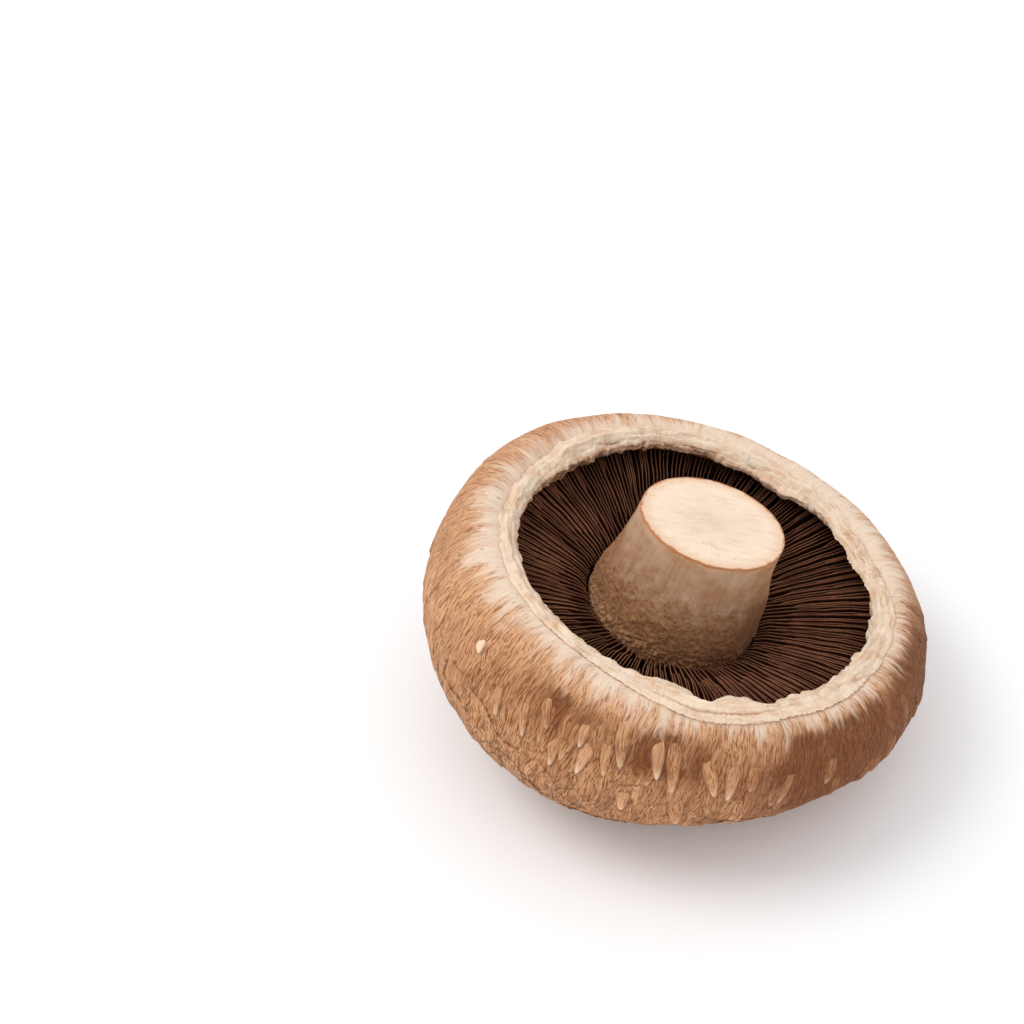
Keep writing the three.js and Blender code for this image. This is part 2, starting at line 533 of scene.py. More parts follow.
def speck_group():
    """Scattered small dark specks and short hairs."""
    if "specks" in bpy.data.node_groups:
        return bpy.data.node_groups["specks"]
    tree, s, given, result = new_group(
        "specks",
        [("Grain", "NodeSocketVector", None), ("Across", "NodeSocketFloat", 40.0),
         ("Along", "NodeSocketFloat", 0.5), ("Amount", "NodeSocketFloat", 0.5)],
        [("Specks", "NodeSocketFloat")],
    )
    scale = s.add(
        "ShaderNodeCombineXYZ",
        {"X": given.outputs["Across"], "Y": given.outputs["Across"], "Z": given.outputs["Along"]},
    )
    stretched = s.vectors("MULTIPLY", given.outputs["Grain"], scale.outputs[0])
    cells = s.add("ShaderNodeTexVoronoi", {"Vector": stretched, "Scale": 1.0})
    pick = s.add("ShaderNodeSeparateColor", {"Color": cells.outputs["Color"]})
    kept = s.maths("LESS_THAN", pick.outputs[0], given.outputs["Amount"])
    size = s.maths("MULTIPLY_ADD", pick.outputs[1], 0.22, 0.08)
    near = s.maths("SUBTRACT", size, cells.outputs["Distance"])
    s.feed(result.inputs["Specks"], s.maths("MULTIPLY", s.span(near, 0.0, 0.12), kept))
    return tree


# -------------------------------------------------------------------------------------- materials
def cap_material():
    """Cream downy margin, running out in streaks into tan, straw and rusty brown fibres."""
    if "fibrous cap skin" in bpy.data.materials:
        return bpy.data.materials["fibrous cap skin"]
    c = colours()
    material, s = new_material("fibrous cap skin")
    grain, here = s.vector_of("grain"), s.here()
    down = s.add("ShaderNodeSeparateXYZ", {"Vector": grain}).outputs["Z"]
    coarse = s.group(fibre_group(), Grain=grain, Across=62.0, Along=0.12)
    fine = s.group(fibre_group(), Grain=grain, Across=215.0, Along=0.3)
    cloud = s.group(mottle_group(), Place=here, Blotches=55.0, Grain=700.0)
    pale, rust = s.value_of("pale"), s.value_of("rust")
    crease, tone = s.value_of("crease"), s.value_of("tone")

    # brown fibres, with rust in patches and straw where the light fibres are
    streaky = s.maths("MULTIPLY_ADD", coarse["Bundles"], -3.2, s.value_of("browning"))
    streaky = s.maths("MULTIPLY_ADD", fine["Bundles"], -2.6, streaky)
    brown = s.span(streaky, -6.6, 0.8)
    deep = s.span(streaky, -2.0, 8.0)
    body = s.blend(s.maths("MULTIPLY", cloud["Blotches"], 0.35), c.tan, c.straw)
    body = s.blend(deep, s.blend(0.75, body, c.straw), body)
    body = s.blend(s.maths("MULTIPLY", coarse["Bundles"], 0.25), body, c.rust)
    lit = s.maths("MULTIPLY", fine["Fibres"], s.maths("MULTIPLY_ADD", coarse["Fibres"], 0.5, 0.4))
    body = s.blend(lit, body, c.straw)
    body = s.blend(s.maths("MULTIPLY", pale, 0.5), body, c.straw)
    threads = s.maths("MULTIPLY_ADD", lit, -0.45, 0.97)
    body = s.blend(s.maths("MULTIPLY", rust, threads), body, c.rust)
    heart = s.maths("MULTIPLY", s.span(rust, 0.45, 1.0), s.span(coarse["Fibres"], 0.25, 0.8))
    body = s.blend(s.maths("MULTIPLY", heart, 0.45), body, c.umber)
    creamy = s.blend(s.maths("MULTIPLY", fine["Bundles"], 0.3), c.cream, c.straw)
    base = s.blend(brown, creamy, body)
    shadow = s.span(fine["Fibres"], 0.5, 0.0, 0.0, 0.75)
    base = s.blend(s.maths("MULTIPLY", shadow, brown), base, c.rust)

    # fine cracks between small plates, low on the dome
    wobble = s.add("ShaderNodeTexNoise", {"Vector": here, "Scale": 260.0, "Detail": 2.0})
    bent = s.vectors("MULTIPLY_ADD", wobble.outputs["Color"], (0.0022, 0.0022, 0.0022), here)
    plates = s.add(
        "ShaderNodeTexVoronoi", {"Vector": bent, "Scale": 240.0}, feature="DISTANCE_TO_EDGE"
    )
    crack = s.span(plates.outputs["Distance"], 0.085, 0.0)
    crack = s.maths("MULTIPLY", crack, s.span(down, 17.0, 30.0))
    crack = s.maths("MULTIPLY", crack, s.span(cloud["Blotches"], 0.15, 0.7))
    base = s.blend(s.maths("MULTIPLY", crack, 0.62), base, c.umber)

    # short dark hairs near the margin, then the scales' pale tips, partly a painted highlight, and the
    # painted shade along their edges
    hairs = s.group(speck_group(), Grain=grain, Across=60.0, Along=0.45, Amount=0.12)["Specks"]
    hairy = s.maths("MULTIPLY", s.maths("MULTIPLY_ADD", pale, 0.45, 0.3), s.span(down, 26.0, 12.0))
    base = s.blend(s.maths("MULTIPLY", hairs, hairy), base, c.rust)
    # pale scale tips, partly a painted highlight on the raised tips
    tipped = s.blend(s.span(tone, 0.7, 1.9, 0.0, 0.65), c.straw, c.cream)
    base = s.blend(s.span(tone, 0.4, 2.0, 0.0, 0.75), base, tipped)
    base = s.blend(s.maths("MULTIPLY", crease, 0.88), base, c.umber)
    bright = s.maths("MULTIPLY_ADD", tone, 0.13, 1.0)
    toned = s.add("ShaderNodeVectorMath", {0: base, "Scale": bright}, operation="SCALE")
    height = s.maths("MULTIPLY_ADD", fine["Relief"], 1.0, coarse["Relief"])
    height = s.maths("MULTIPLY_ADD", crack, -0.9, height)
    height = s.maths("MULTIPLY_ADD", cloud["Grain"], 0.12, height)
    rough = s.span(fine["Fibres"], 0.0, 1.0, 0.82, 0.6)
    s.finish(toned.outputs[0], height, 0.00026, 0.8, rough, sheen=0.02, subsurface=0.04)
    return material


def veil_material():
    """Cream skin with faint tan stains in its folds, and painted shade in its hollows, along its
    outer edge and on the wall that hangs at the back.
    """
    c = colours()
    material, s = new_material("torn veil")
    grain, here = s.vector_of("grain"), s.here()
    cloud = s.group(mottle_group(), Place=here, Blotches=170.0, Grain=1100.0)
    wrinkle = s.group(fibre_group(), Grain=grain, Across=9.0, Along=1.5)
    radial = s.group(fibre_group(), Grain=grain, Across=70.0, Along=0.25)
    fold = s.value_of("fold")
    stain = s.maths("MULTIPLY", cloud["Blotches"], wrinkle["Fibres"])
    base = s.blend(s.maths("MULTIPLY", stain, 0.7), c.veil, c.veil_stain)
    # the veil's stains in its folds, and painted shade in its hollows, along its outer edge and on the
    # back wall
    base = s.blend(s.maths("MULTIPLY", fold, 0.82), base, c.veil_stain)
    base = s.blend(s.span(fold, 0.75, 1.0, 0.0, 0.7), base, c.rust)
    base = s.blend(s.maths("MULTIPLY", radial["Fibres"], 0.3), base, c.cream)
    height = s.maths("MULTIPLY_ADD", wrinkle["Relief"], 0.8, radial["Relief"])
    height = s.maths("MULTIPLY_ADD", cloud["Grain"], 0.3, height)
    rough = s.span(cloud["Grain"], 0.0, 1.0, 0.85, 0.62)
    s.finish(base, height, 0.0005, 0.6, rough, sheen=0.03, subsurface=0.12)
    return material


def gill_material():
    """Dark chocolate blades with lighter reddish free edges."""
    c = colours()
    material, s = new_material("dark gills")
    grain, here = s.vector_of("grain"), s.here()
    edge, tone = s.value_of("edge"), s.value_of("tone")
    cloud = s.group(mottle_group(), Place=here, Blotches=110.0, Grain=1500.0)
    ribs = s.group(fibre_group(), Grain=grain, Across=150.0, Along=0.3)
    paleness = s.maths("MULTIPLY_ADD", cloud["Blotches"], 0.35, 0.62)
    paleness = s.maths("MULTIPLY_ADD", tone, 0.18, paleness)
    # the pale free edges, with painted shade on those of the blades at the back
    base = s.blend(s.maths("MULTIPLY", edge, paleness), c.gill, c.gill_edge)
    base = s.blend(s.maths("MULTIPLY", cloud["Grain"], 0.25), base, c.gill)
    height = s.maths("MULTIPLY_ADD", cloud["Grain"], 0.5, ribs["Relief"])
    rough = s.span(cloud["Grain"], 0.0, 1.0, 0.85, 0.6)
    s.finish(base, height, 0.0002, 0.5, rough)
    return material


def stem_material():
    """Cream cut face with a browned edge, greyish tan sides, and a brown felted collar."""
    c = colours()
    material, s = new_material("stem skin and flesh")
    grain, here = s.vector_of("grain"), s.here()
    up, inside, dark = s.value_of("up"), s.value_of("inside"), s.value_of("bruise_and_shade")
    fibres = s.group(fibre_group(), Grain=grain, Across=42.0, Along=0.09)
    felt = s.group(mottle_group(), Place=here, Blotches=260.0, Grain=1000.0)
    broad = s.group(mottle_group(), Place=here, Blotches=80.0, Grain=420.0)
    side = s.blend(s.maths("MULTIPLY", fibres["Fibres"], 0.4), c.stem, c.felt)
    side = s.blend(s.maths("MULTIPLY", broad["Blotches"], 0.27), side, c.flesh)
    woolly = s.blend(felt["Grain"], c.felt, c.stem)
    woolly = s.blend(s.maths("MULTIPLY", felt["Blotches"], 0.2), woolly, c.bruise_and_shade)
    crumbly = s.maths("MULTIPLY", s.span(up, 0.13, 0.0), s.value_of("crumbly"))
    woolly = s.blend(s.maths("MULTIPLY", crumbly, 0.4), woolly, c.straw)
    level = s.maths("MULTIPLY_ADD", broad["Grain"], 0.22, up)
    side = s.blend(s.span(level, 0.85, 0.35), side, woolly)
    # bruised patches, partly painted shade on the stem's right side
    side = s.blend(s.maths("MULTIPLY", dark, 0.85), side, c.bruise_and_shade)

    # the cut face: faint knife lines, a brown rim that fades inwards, and a few dots
    lines = s.vectors("MULTIPLY", here, (170.0, 700.0, 170.0))
    cuts = s.add("ShaderNodeTexNoise", {"Vector": lines, "Scale": 1.0, "Detail": 3.0})
    streak = s.span(cuts.outputs["Fac"], 0.48, 0.7)
    face = s.blend(s.maths("MULTIPLY", streak, 0.2), c.flesh, c.veil_stain)
    face = s.blend(s.maths("MULTIPLY", broad["Blotches"], 0.2), face, c.cream)
    base = s.blend(s.span(inside, -0.25, 0.15), side, face)
    ragged = s.maths("MULTIPLY_ADD", broad["Grain"], 0.4, inside)
    rim = s.maths("MULTIPLY", s.span(ragged, -0.7, 0.1), s.span(ragged, 0.85, 0.15))
    glow = s.maths("MULTIPLY", s.span(ragged, 3.6, 0.4), s.span(ragged, -1.8, 0.1))
    base = s.blend(s.maths("MULTIPLY", glow, 0.42), base, c.straw)
    base = s.blend(s.maths("MULTIPLY", rim, 0.92), base, c.cut_edge)
    dots = s.group(speck_group(), Grain=here, Across=1100.0, Along=1100.0, Amount=0.05)["Specks"]
    base = s.blend(s.maths("MULTIPLY", dots, 0.6), base, c.cut_edge)
    height = s.maths("MULTIPLY_ADD", felt["Grain"], s.span(up, 0.8, 0.2, 0.1, 0.6), fibres["Relief"])
    height = s.maths("MULTIPLY_ADD", streak, s.span(inside, 0.0, 0.3, 0.0, -0.3), height)
    rough = s.span(felt["Grain"], 0.0, 1.0, 0.85, 0.65)
    s.finish(base, height, 0.0004, 0.6, rough, sheen=0.03, subsurface=0.1)
    return material


def floor_material():
    """Pale smooth table top with the faintest unevenness."""
    c = colours()
    material, s = new_material("floor")
    cloud = s.group(mottle_group(), Place=s.here(), Blotches=3.0, Grain=260.0)
    base = s.blend(s.maths("MULTIPLY", cloud["Blotches"], 0.03), c.floor, (0.85, 0.85, 0.87))
    s.finish(base, cloud["Grain"], 0.0001, 0.05, 0.75)
    return material


# ---------------------------------------------------------------------------------------- the cap
CAP_ROWS = 134
CAP_COLUMNS = 720
INNER_WALL = 3.4
LEDGE = 4.6
LEDGE_DROP = 2.1
RIDGE_RELIEF = 0.22
FIBRE_RELIEF = 0.11
# bulges low on the dome, as their height, angle and width
LOW_BULGES = ((1.5, 236, 27), (-1.1, 302, 24))
# how much wider the cream band beside the veil is, as bumps
CREAM_BAND = ((1.5, 258, 34), (-2.4, 336, 28), (2.8, 55, 32), (1.6, 198, 22), (-2.6, 136, 30))
# patches of the skin: strength, angle and width, then the spans of the way down over which it
# comes in or fades out
PALE_PATCHES = ((1.2, 180, 42, (46, 14)), (0.55, 95, 60, (30, 8)), (0.5, 30, 22, (16, 6)))
RUST_PATCHES = (
    (1.8, 311, 18, (1, 6), (38, 20)),
    (1.6, 341, 18, (-1, 4), (26, 14)),
    (1.0, 262, 9, (4, 8), (19, 12)),
    (0.85, 239, 12, (5, 9), (21, 13)),
    (0.45, 285, 28, (6, 14), (30, 20)),
    (0.5, 120, 30, (6, 14)),
)


def ledge_height(radius):
    """Height of the cap's ledge, which carries the veil, inside the crest of the margin."""
    inside = mm("cap_radius") - mm("margin_roll") - radius
    return mm("margin_rise") - LEDGE_DROP * (np.clip(inside, 0, LEDGE) / LEDGE) ** 2


def cap_profile():
    """Radius and height from under the veil, over the crest and down to the top of the dome, and
    how far each row is from the crest, all in millimetres."""
    radius, roll, rise = mm("cap_radius"), mm("margin_roll"), mm("margin_rise")
    widest, depth = mm("widest_depth"), mm("cap_depth")
    margin = radius - roll
    turn = np.linspace(0, math.pi / 2, 60)
    ledge = np.linspace(margin - LEDGE, margin, 40)
    wall = np.stack([np.full(6, ledge[0]), np.linspace(-INNER_WALL, ledge_height(ledge[0]), 6)], 1)
    curl = np.stack([ledge, ledge_height(ledge)], 1)
    over = np.stack([margin + roll * np.sin(turn), -widest + (widest + rise) * np.cos(turn)], 1)
    out = radius * np.cos(turn) ** (2 / shape().dome_roundness)
    deep = -widest - (depth - widest) * np.sin(turn) ** (2 / shape().dome_flatness)
    line = np.concatenate([wall[:-1], curl[:-1], over[:-1], np.stack([out, deep], 1)])
    reach = np.concatenate([[0], np.cumsum(np.linalg.norm(np.diff(line, axis=0), axis=1))])
    crest = reach[len(wall) + len(curl) - 2]
    even = np.linspace(0, 1, CAP_ROWS) ** 1.15 * reach[-1]
    rows = np.stack([np.interp(even, reach, line[:, 0]), np.interp(even, reach, line[:, 1])], 1)
    rows[-1, 0] = 0.02
    return rows, even - crest


def dome_point(angle, radius, height):
    """A point of the lopsided dome."""
    x, y = radius * np.cos(angle), radius * np.sin(angle)
    tilt = 1 + (shape().lopsided_x * x + shape().lopsided_y * y) / mm("cap_radius")
    return np.stack([x, y, np.where(height < 0, height * tilt, height)], axis=-1)


def inner_wall(down):
    """1 on the wall that hangs under the veil, 0 on the skin outside it."""
    return step(-3.6, -4.8, down)


def patches(angle, down, places):
    """How strong patches of the skin are, from the places where they lie."""
    total = 0 * angle
    for strength, degrees, width, *spans in places:
        patch = strength * bump(angle, degrees, width)
        for low, high in spans:
            patch = patch * step(low, high, down)
        total = total + patch
    return total


def skin_values(angle, down, bare, crease, tone):
    """What the skin is like at each point: bare is the share of the rust that shows there, then
    how much painted shade lies along a scale's edges, how pale a scale is, and browning, how far
    the cream band is behind."""
    spread = noise(grain_of(angle, down / 14, 3), 41)
    streaks = noise(grain_of(angle, down / 16, 12), 42)
    pale = patches(angle, down, PALE_PATCHES) * (0.75 + 1.2 * spread)
    # the wall that hangs under the veil gets rust and browning: painted shade under the veil
    rust = patches(angle, down, RUST_PATCHES) + 0.35 * step(40, 70, down) + inner_wall(down)
    rust = np.clip(rust * (1.0 + 0.9 * spread + 1.1 * streaks), 0, 1)
    band = 1.8 + bumps(angle, *CREAM_BAND)
    beyond = down - band + 3.5 * noise(grain_of(angle, down / 9, 8), 43) + 20 * inner_wall(down)
    return {"pale": np.clip(pale, 0, 1), "rust": rust * bare, "crease": crease, "tone": tone,
            "browning": beyond}


def cap_surface():
    """The cap's outer surface as a grid of points, with the normal, angle and way down of each."""
    rows, down = cap_profile()
    angle = np.arange(CAP_COLUMNS) * TAU / CAP_COLUMNS
    angles, downs = np.meshgrid(angle, down)
    grid = dome_point(angles, rows[:, :1], rows[:, 1:])
    normals = -grid_normals(grid)
    flat = grid.reshape(-1, 3)
    around = grain_of(angles, downs).reshape(-1, 3)
    low = (step(20, 34, downs) * step(64, 46, downs)).ravel()
    lumps = 0.5 * noise(flat / 23, 1) + 0.45 * noise(flat / 9, 2)
    lumps = lumps + low * bumps(angles, *LOW_BULGES).ravel()
    ridges = RIDGE_RELIEF * rough_noise(around * np.array([24, 24, 0.07]), 2, 3)
    fibres = FIBRE_RELIEF * rough_noise(around * np.array([75, 75, 0.13]), 2, 5)
    outside = step(-2, 6, downs.ravel())
    off_centre = step(100, 62, downs.ravel())
    worn = 0.35 + 0.65 * step(6, 20, downs.ravel())
    push = lumps * outside + (ridges + fibres) * outside * off_centre * worn
    grid = grid + normals * push.reshape(grid.shape[:2])[:, :, None]
    return grid, -grid_normals(grid), angles, downs


def polar_atlas(angle, down):
    """The cap's skin laid out flat, like an orange peel pressed into a disc."""
    share = 0.49 * (1 - (down - down.min()) / (down.max() - down.min()))
    return np.stack([0.5 + share * np.cos(angle), 0.5 + share * np.sin(angle)], -1)


class MUSHROOM_OT_cap(bpy.types.Operator):
    """Build the cap's skin, from under the veil to the top of the dome"""

    bl_idname = "mushroom.cap"
    bl_label = "Cap"

    def execute(self, context):
        grid, _, angles, downs = cap_surface()
        angle, down = angles.ravel(), downs.ravel()
        make_piece(
            "cap_skin", settle(place(grid.reshape(-1, 3))),
            grid_faces(*grid.shape[:2], turned=True), "cap", cap_material(),
            skin_values(angle, down, bare=1.0, crease=0 * angle, tone=0 * angle),
            grain_of(angle, down), polar_atlas(angle, down),
        )
        return {"FINISHED"}


# ------------------------------------------------------------------------------------- the scales
# angle and start place a scale's root, skew turns its tip, tone says how pale it is, and bold how
# sharply it stands out from the skin
Scale = namedtuple("Scale", "angle start length width lift skew tone bold")

SCALE_ALONG = 9
SCALE_SIDES = (-1.0, -1.0, -0.9, -0.5, 0.0, 0.5, 0.9, 1.0, 1.0)
SCALE_FOOT = 0.7
LOOSE_FEATHERS = 46
DOME_FLAKES = 12
LOOSE_FLAKE = Scale(math.radians(212), 10.4, 2.8, 2.6, 0.7, 0.7, 2.0, 1.0)
# the large feathers at the front: each from its root to its tip, as degrees round the cap and
# millimetres down, and its width
LARGE_FEATHERS = (
    (243.5, 10.0, 244.0, 14.8, 2.4), (246.0, 13.0, 245.5, 20.8, 3.0), (249.0, 11.0, 251.0, 18.8, 2.8),
    (250.5, 5.8, 253.5, 15.3, 3.2), (259.0, 7.0, 261.5, 15.4, 3.0), (262.5, 6.5, 265.5, 18.0, 3.2),
    (270.5, 9.0, 274.5, 17.4, 3.2), (277.0, 9.5, 277.5, 18.2, 3.0), (266.5, 18.6, 269.5, 28.6, 3.8),
    (229.0, 13.0, 231.5, 19.6, 2.6), (233.0, 9.5, 236.0, 15.0, 2.4), (238.5, 15.5, 239.5, 22.0, 2.8),
    (256.0, 20.5, 257.0, 26.0, 3.0), (281.0, 19.0, 282.5, 26.5, 3.4), (222.0, 14.0, 224.0, 19.5, 2.4),
)
SHEET_LENGTH = 130
SHEET_WIDTH = 9
SHEET_SMOOTHING = 16
# paths of the raised edges of skin, as degrees round the cap and millimetres down
SHEET_EDGES = (
    ((203, 17.8), (213, 19.2), (221, 20.4), (229, 24.6), (236, 22.4), (247, 28.5)),
    ((200, 23.0), (212, 24.2), (225, 26.6)),
    ((228, 28.0), (240, 32.0), (252, 35.6), (268, 37.0)),
    ((249, 20.6), (256, 19.2), (263, 15.4)),
    ((272, 30.0), (283, 26.5), (292, 28.0)),
    ((318, 27.0), (332, 24.5), (350, 27.5)),
    ((20, 21.0), (36, 24.0), (52, 22.0)),
    ((84, 24.0), (104, 27.0), (126, 23.5), (140, 26.0)),
    ((150, 33.0), (170, 30.5), (190, 34.0)),
)


class Skin:
    """Looks up points and normals on the cap's finished surface."""

    def __init__(self):
        self.grid, self.normals, _, downs = cap_surface()
        self.down = downs[:, 0]
        self.radius = np.linalg.norm(self.grid[:, :, :2], axis=2).mean(axis=1)

    def at(self, angle, down):
        """The points and normals at angles round the cap and distances down."""
        row = np.interp(down, self.down, np.arange(len(self.down)))
        column = (angle % TAU) / TAU * CAP_COLUMNS
        top, left = np.floor(row).astype(int), np.floor(column).astype(int)
        top = np.clip(top, 0, len(self.down) - 2)
        below, beside = (row - top)[:, None], (column - left)[:, None]
        left, right = left % CAP_COLUMNS, (left + 1) % CAP_COLUMNS
        found = []
        for field in (self.grid, self.normals):
            upper = field[top, left] * (1 - beside) + field[top, right] * beside
            lower = field[top + 1, left] * (1 - beside) + field[top + 1, right] * beside
            found.append(upper * (1 - below) + lower * below)
        return found

    def ring(self, down):
        """The cap's radius at a distance down."""
        return np.interp(down, self.down, self.radius)


def scale_rows():
    """The rows of scales: distance down, length, width, lift, turn and chance of each scale."""
    down = 7.0
    while down < 86:
        feather = step(7, 13, down) * step(36, 24, down)
        small = step(24, 36, down)
        fading = step(88, 70, down)
        length = 4.5 + 6.5 * feather + 1.2 * small
        width = 1.7 + 1.9 * feather + 2.1 * small
        lift = (0.04 + 0.12 * feather + 0.12 * small) * (0.4 + 0.6 * fading)
        turn = 10 + 34 * small
        likely = 0.04 + 0.20 * feather + 0.42 * small * fading
        yield down, length, width, lift, turn, likely
        down += 0.30 * length * (1.0 + 0.25 * small)


def scales_in_rows(skin):
    """Scales in rows round the cap, with many of them left out."""
    for number, (down, length, width, lift, turn, likely) in enumerate(scale_rows()):
        count = max(5, int(TAU * skin.ring(down) / (width * 1.05)))
        for index in range(count):
            luck = chance(number, index, np.arange(8), seed=11)
            if luck[0] > likely:
                continue
            yield Scale(
                angle=(index + 0.5 * (number % 2) + 0.55 * (luck[1] - 0.5)) * TAU / count,
                start=down + (luck[2] - 0.5) * 0.9 * length,
                length=length * (0.55 + 0.95 * luck[3] ** 1.5),
                width=width * (0.7 + 0.75 * luck[5]),
                lift=lift * (0.4 + 1.2 * luck[6]),
                skew=math.radians(turn) * (2 * luck[4] - 1),
                tone=2 * luck[7] - 1,
                bold=0.0,
            )


def loose_feathers():
    """Slender feathers scattered round the front."""
    for number in range(LOOSE_FEATHERS):
        luck = chance(number, np.arange(8), seed=13)
        yield Scale(
            angle=FRONT + TAU * (luck[0] - 0.5) * (0.35 + 0.65 * luck[1]),
            start=8.5 + 9 * luck[2],
            length=6 + 4 * luck[3],
            width=2.2 + 1.2 * luck[4],
            lift=0.12 + 0.2 * luck[5],
            skew=0.35 * (luck[6] - 0.5),
            tone=0.2 + 0.8 * luck[7],
            bold=0.5,
        )


def large_feathers(skin):
    """The large feathers at the front, each from its root to its tip."""
    for number, (root, high, tip, low, width) in enumerate(LARGE_FEATHERS):
        shift = math.radians(tip - root) * skin.ring(0.5 * (high + low))
        luck = chance(number, np.arange(2), seed=19)
        yield Scale(
            angle=math.radians(root),
            start=high,
            length=1.12 * math.hypot(shift, low - high),
            width=width,
            lift=0.3 + 0.2 * luck[0],
            skew=math.atan2(shift, low - high),
            tone=0.7 + 0.6 * luck[1],
            bold=1.0,
        )


def dome_flakes():
    """Small pale flakes scattered over the dome."""
    for number in range(DOME_FLAKES):
        luck = chance(number, np.arange(8), seed=17)
        yield Scale(
            angle=TAU * luck[0],
            start=34 + 44 * luck[1] ** 0.7,
            length=1.8 + 2.6 * luck[2],
            width=0.9 + 1.3 * luck[3],
            lift=0.3 + 0.3 * luck[4],
            skew=2.4 * (luck[5] - 0.5),
            tone=1.3,
            bold=0.6,
        )


def scale_outline(along, point):
    """Half width of a scale, as a share, from its root at 0 to its tip at 1."""
    return (0.6 + 0.4 * step(0.0, 0.4, along)) * np.clip(1 - along**2.8, 0, 1) ** point


def add_scale(parts, skin, scale):
    """One scale: an arched blade, and a foot round its sides and tip that sinks into the skin."""
    bold, tone = scale.bold, scale.tone
    along, across = np.meshgrid(
        np.linspace(0, 1, SCALE_ALONG), np.linspace(-1, 1, len(SCALE_SIDES)), indexing="ij"
    )
    side = np.broadcast_to(np.array(SCALE_SIDES), across.shape)
    foot = (np.abs(across) > SCALE_FOOT) | (along > 0.85)
    sunk = (np.abs(across) > 0.99) | (along > 0.99) | (along < 0.01)

    share = np.minimum(along * 1.14, 1.0)
    skirt = 0.14 + 0.3 * bold
    beyond = np.maximum(np.abs(across) - SCALE_FOOT, 0) / (1 - SCALE_FOOT)
    reach = share * scale.length + skirt * (along > 0.99)
    point = 0.55 + 0.5 * (0.5 + 0.5 * tone)
    spread = side * scale_outline(np.minimum(share, 0.985), point) * scale.width / 2
    spread = spread + skirt * beyond * side * step(0.15, 0.5, along)
    down = scale.start + reach * math.cos(scale.skew) - spread * math.sin(scale.skew)
    ring = np.maximum(skin.ring(down), 3.0)
    around = scale.angle + (spread * math.cos(scale.skew) + reach * math.sin(scale.skew)) / ring

    arch = (0.12 + 0.2 * bold) * (1 - side**2)
    height = (scale.lift * (0.35 + 0.65 * along**1.3) + arch + 0.06) * step(0, 0.3, along)
    height = np.where(foot, 0.08, height)
    height = np.where(sunk, -0.14, height)
    base, normal = skin.at(around.ravel(), down.ravel())

    # painted shade along each scale's foot and down one of its sides
    shaded = np.where(across * math.sin(40 * tone) > 0, 1.0, 0.3 + 0.6 * bold)
    shaded = np.maximum(shaded * step(0.1, 0.5, along), 0.8 * (along > 0.8))
    edge_shade = np.where(foot, 1.0, 0.3 * (np.abs(side) > 0.8))
    # a paler tip: partly the scale's own paler colour, partly a painted highlight on the raised tip
    tip = (0.6 + 0.5 * bold) * step(0.45, 0.95, along)
    parts.add(
        base + normal * height.ravel()[:, None],
        grid_faces(SCALE_ALONG, len(SCALE_SIDES), closed=False, turned=True),
        angle=around, down=down,
        grain_angle=scale.angle + 40 * tone + spread / ring, grain_down=scale.start + reach,
        crease=edge_shade * shaded * (0.6 + 0.38 * bold), bare=1 - 0.55 * bold,
        tone=tone * (0.8 if tone < 2 else 1) + tip,
    )


def add_sheet(parts, skin, path, number):
    """A strip of skin whose raised edge runs along a path round the cap."""
    turns, downs = np.radians([p[0] for p in path]), [p[1] for p in path]
    angle = np.linspace(turns[0], turns[-1], SHEET_LENGTH)
    soft = np.hanning(2 * SHEET_SMOOTHING + 1)
    edge = np.pad(np.interp(angle, turns, downs), SHEET_SMOOTHING, mode="edge")
    edge = np.convolve(edge, soft / soft.sum(), mode="valid")
    wave = np.stack([angle * 9, 0 * angle + 3.3 * number, 0 * angle], -1)
    edge = edge + 1.5 * noise(wave, 44) + 0.8 * noise(wave * 3.1, 45) + 0.4 * noise(wave * 9, 47)
    around, inwards = np.meshgrid(angle, np.linspace(0, 1, SHEET_WIDTH), indexing="ij")
    down = edge[:, None] + inwards**1.6 * (2.6 + 1.6 * chance(number, seed=46))
    taper = np.sin(math.pi * np.linspace(0, 1, SHEET_LENGTH)) ** 0.5
    thick = (0.42 + 0.5 * noise(wave * 4, 48)) * taper
    height = thick[:, None] * (inwards > 0.01) * (1 - inwards) ** 1.5
    height = height - 0.10 * (inwards < 0.01) - 0.12 * step(0.8, 1.0, inwards)
    base, normal = skin.at(around.ravel(), down.ravel())
    # painted shade along the sheet's raised edge
    dark = step(0.26, 0.0, inwards) * (taper * (0.8 + 0.9 * noise(wave * 5, 49)))[:, None]
    parts.add(
        base + normal * height.ravel()[:, None],
        grid_faces(SHEET_LENGTH, SHEET_WIDTH, closed=False),
        angle=around, down=down, grain_angle=around, grain_down=down,
        crease=np.clip(dark, 0, 1), bare=1.0, tone=0.5,
    )


class MUSHROOM_OT_scales(bpy.types.Operator):
    """Lay the feather-like scales of the cap, with their tips towards the top of the dome"""

    bl_idname = "mushroom.scales"
    bl_label = "Scales"

    def execute(self, context):
        skin, parts = Skin(), Parts()
        scales = itertools.chain(
            scales_in_rows(skin), loose_feathers(), large_feathers(skin), [LOOSE_FLAKE], dome_flakes()
        )
        for scale in scales:
            add_scale(parts, skin, scale)
        for number, path in enumerate(SHEET_EDGES):
            add_sheet(parts, skin, path, number)
        made = {name: parts.joined(name) for name in ("angle", "down", "bare", "crease", "tone")}
        make_piece(
            "cap_scales", settle(place(parts.joined("points"))), parts.joined("faces"), "cap",
            cap_material(), skin_values(**made),
            grain_of(parts.joined("grain_angle"), parts.joined("grain_down")),
        )
        return {"FINISHED"}


# --------------------------------------------------------------------------------------- the veil
VEIL_COLUMNS = 900
VEIL_STEPS = 46
LAP_RADIUS = 44.4
UNDER_LEDGE = (44.6, -2.6)
